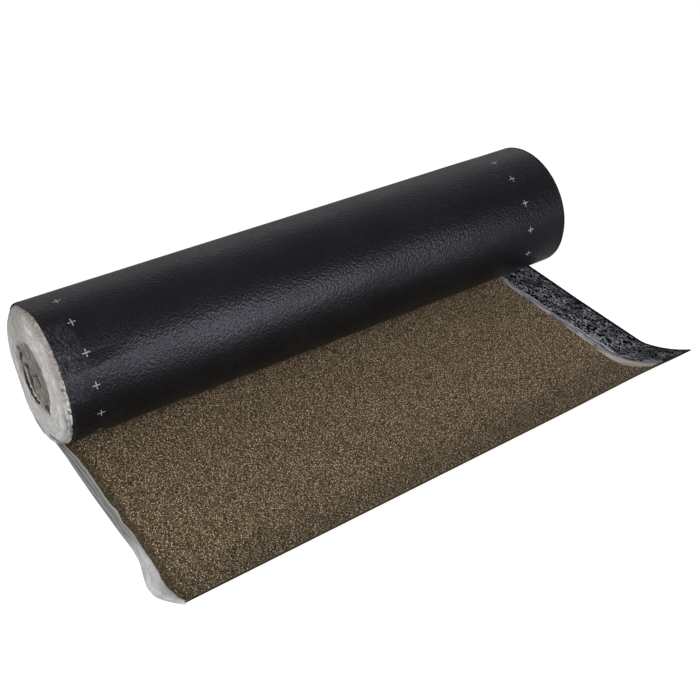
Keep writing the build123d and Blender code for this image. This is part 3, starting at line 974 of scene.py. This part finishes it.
class FELTROLL_OT_selvedge_film(bpy.types.Operator):
    """Lay the film strip on the selvedge, with its lip over the granules' edge"""

    bl_idname = "feltroll.selvedge_film"
    bl_label = "Selvedge Film"

    def execute(self, context):
        size = sizes()
        tip = size.flap_length - 0.0005
        out = np.concatenate([np.linspace(0.006, 0.33, 90), np.linspace(0.333, tip, 60)])
        line = lap_line(out)
        reach = lip_reach(out)
        lip_columns = 13
        lip_share = np.linspace(0, 1, lip_columns)
        field = np.linspace(0, 1, 30)[1:]
        turned_in = line - reach
        turned_out = line + 1.2 * reach + 0.004
        lip_x = turned_in[:, None] + (turned_out - turned_in)[:, None] * lip_share[None]
        edge = right_edge(out) - 0.0042 + 0.0007 * ripple(out, 60.0, 8)
        field_x = turned_out[:, None] + (edge - turned_out)[:, None] * field[None]
        x = np.concatenate([lip_x, field_x], axis=1)
        away = np.repeat(out[:, None], x.shape[1], axis=1)
        bare = size.thickness - size.granule_depth
        step = 1 - smooth(line[:, None] - 0.0005, line[:, None] + 0.004, x)
        clear, film = 0.0003, 0.00015
        height = bare + clear + (size.granule_depth + 0.0002) * step
        height[:, 0] -= 0.0006
        wrinkle = surface_noise(np.stack([x * 62, away * 40, 0 * x + 5.0], axis=-1), 1.0, 3)
        hem = edge[:, None] - x
        apart = smooth(line[:, None] + 0.003, line[:, None] + 0.012, x) * smooth(0.0, 0.008, hem)
        height = height + 0.0005 * (1 + wrinkle) * apart
        crease = surface_noise(np.stack([x * 170, away * 16, 0 * x + 9.0], axis=-1), 1.0, 2)
        puckered = slice(1, lip_columns)
        arch = np.sin(math.pi * lip_share[puckered])[None] ** 0.6
        height[:, puckered] += 0.0006 * (1 + crease[:, puckered]) * arch
        points, faces, _ = slab(flap_points(x, away, height - film), flap_points(x, away, height))
        lip = np.zeros_like(x)
        lip[:, :lip_columns] = 1 - lip_share
        milk = np.repeat(smooth(0.31, 0.375, out)[:, None], x.shape[1], axis=1)
        spot = np.stack([x, -away, np.zeros_like(x)], axis=-1).reshape(-1, 3)
        values = {"sheet_place": np.concatenate([spot, spot])}
        for key, value in (("lip", lip), ("milk", milk), ("hem", hem)):
            values[key] = np.concatenate([value.ravel()] * 2)
        piece = new_piece("selvedge_strip", points, faces.tolist(), [selvedge_film_material()], None, values,
                          math.radians(60))
        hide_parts("selvedge_film")
        return {"FINISHED"}


class FELTROLL_OT_stage(bpy.types.Operator):
    """Set the floor, the soft studio light and the camera"""

    bl_idname = "feltroll.stage"
    bl_label = "Stage"

    def execute(self, context):
        scene = context.scene
        self.add_floor(scene)
        self.add_world(scene)
        self.add_panel(scene, "key_panel", place=(-1.8, -2.2, 2.0), size=(1.6, 1.6), power=79.0)
        self.add_panel(scene, "front_panel", place=(0.62, -2.35, 0.7), size=(1.5, 0.9), power=33.0)
        self.add_cards(scene)
        self.add_camera(scene)
        scene.view_settings.view_transform = "Standard"
        return {"FINISHED"}

    def add_floor(self, scene):
        mesh = bpy.data.meshes.new("floor")
        far = 9.0
        mesh.from_pydata([(-far, -far, 0), (far, -far, 0), (far, far, 0), (-far, far, 0)], [], [(0, 1, 2, 3)])
        floor = bpy.data.objects.new("floor", mesh)
        floor.location.z = -0.0006
        scene.collection.objects.link(floor)
        material, graph, shader = new_material("studio_floor")
        path = graph.add("ShaderNodeLightPath").outputs
        seen = graph.most(path["Is Camera Ray"], path["Is Glossy Ray"])
        seen = graph.most(seen, path["Is Transmission Ray"])
        graph.fill(shader, {
            "Base Color": colours().floor, "Roughness": 0.9, "Specular IOR Level": 0.1,
            "Emission Color": (1, 1, 1), "Emission Strength": graph.times(seen, 0.6)})
        mesh.materials.append(material)

    def add_cards(self, scene):
        """Grey cards behind and right of the roll, hidden from the camera, that dim its sheen."""
        mesh = bpy.data.meshes.new("grey_cards")
        standing = [(-0.6, 0.5, 0), (1.9, 0.5, 0), (1.9, 0.5, 0.3), (-0.6, 0.5, 0.3)]
        lying = [(x, y, -0.0003) for x, y in ((0.42, -1.2), (2.2, -1.2), (2.2, 0.4), (0.42, 0.4))]
        mesh.from_pydata(standing + lying, [], [(0, 1, 2, 3), (4, 5, 6, 7)])
        cards = bpy.data.objects.new("grey_cards", mesh)
        cards.location = PLACE
        scene.collection.objects.link(cards)
        material, graph, shader = new_material("grey_cards")
        graph.fill(shader, {
            "Base Color": (0.02, 0.02, 0.02), "Emission Color": (1, 1, 1.03), "Emission Strength": 0.24})
        mesh.materials.append(material)
        for ray in ("camera", "diffuse", "shadow", "transmission"):
            setattr(cards, "visible_" + ray, False)

    def add_world(self, scene):
        world = bpy.data.worlds.new("studio")
        world.use_nodes = True
        graph = Graph(world.node_tree)
        aim = graph.add("ShaderNodeTexCoord").outputs["Generated"]
        parts = graph.add("ShaderNodeSeparateXYZ", {"Vector": aim}).outputs
        high = graph.between(parts[2], 0.3, 0.95)
        behind = graph.between(parts[1], -0.35, 0.25)
        bright, middle, dark = (0.53, 0.53, 0.54), (0.25, 0.25, 0.26), (0.07, 0.07, 0.074)
        ahead = graph.mix(graph.between(parts[0], 0.36, 0.62), middle, dark)
        colour = graph.mix(behind, ahead, graph.mix(high, bright, middle))
        graph.fill(world.node_tree.nodes["Background"], {"Color": colour, "Strength": 1.42})
        scene.world = world

    def add_panel(self, scene, name, place, size, power):
        light = bpy.data.lights.new(name, "AREA")
        light.shape = "RECTANGLE"
        light.size, light.size_y = size
        light.energy = power
        lamp = bpy.data.objects.new(name, light)
        lamp.location = Vector(place) + AXIS
        lamp.rotation_euler = (Vector((0, -0.1, 0)) - Vector(place)).to_track_quat("-Z", "Y").to_euler()
        lamp.visible_camera = False
        scene.collection.objects.link(lamp)

    def add_camera(self, scene):
        data = bpy.data.cameras.new("camera")
        data.lens = 59.05
        data.sensor_width = 36.0
        camera = bpy.data.objects.new("camera", data)
        yaw, pitch, roll = math.radians(35.746), math.radians(36.3), math.radians(1.555)
        ahead = Vector((math.sin(yaw) * math.cos(pitch), math.cos(yaw) * math.cos(pitch), -math.sin(pitch)))
        level = Vector((math.cos(yaw), -math.sin(yaw), 0))
        up = level.cross(ahead)
        right = math.cos(roll) * level + math.sin(roll) * up
        top = -math.sin(roll) * level + math.cos(roll) * up
        camera.matrix_world = Matrix((right, top, -ahead)).transposed().to_4x4()
        camera.location = Vector((-0.9361, -1.4292, 1.2233)) + Vector(PLACE)
        scene.collection.objects.link(camera)
        scene.camera = camera


class FELTROLL_PT_panel(bpy.types.Panel):
    """Pieces, sizes and colours of the felt roll"""

    bl_idname = "FELTROLL_PT_panel"
    bl_label = "Felt Roll"
    bl_space_type = "VIEW_3D"
    bl_region_type = "UI"
    bl_category = "Felt Roll"

    def draw(self, context):
        layout = self.layout
        for operator in STEPS:
            layout.operator(operator.bl_idname)
        for group in (context.scene.felt_roll_sizes, context.scene.felt_roll_colours):
            box = layout.box()
            for key in group.__annotations__:
                box.prop(group, key)


STEPS = (
    FELTROLL_OT_felt_sheet,
    FELTROLL_OT_grains,
    FELTROLL_OT_end_film,
    FELTROLL_OT_edge_film,
    FELTROLL_OT_selvedge_film,
    FELTROLL_OT_stage,
)
CLASSES = (FeltRollSizes, FeltRollColours, *STEPS, FELTROLL_PT_panel)


def register():
    for cls in CLASSES:
        bpy.utils.register_class(cls)
    bpy.types.Scene.felt_roll_sizes = bpy.props.PointerProperty(type=FeltRollSizes)
    bpy.types.Scene.felt_roll_colours = bpy.props.PointerProperty(type=FeltRollColours)


def unregister():
    del bpy.types.Scene.felt_roll_colours
    del bpy.types.Scene.felt_roll_sizes
    for cls in reversed(CLASSES):
        bpy.utils.unregister_class(cls)


def main():
    register()
    bpy.ops.feltroll.felt_sheet()
    bpy.ops.feltroll.grains()
    bpy.ops.feltroll.end_film()
    bpy.ops.feltroll.edge_film()
    bpy.ops.feltroll.selvedge_film()
    bpy.ops.feltroll.stage()
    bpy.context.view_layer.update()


if __name__ == "__main__":
    main()
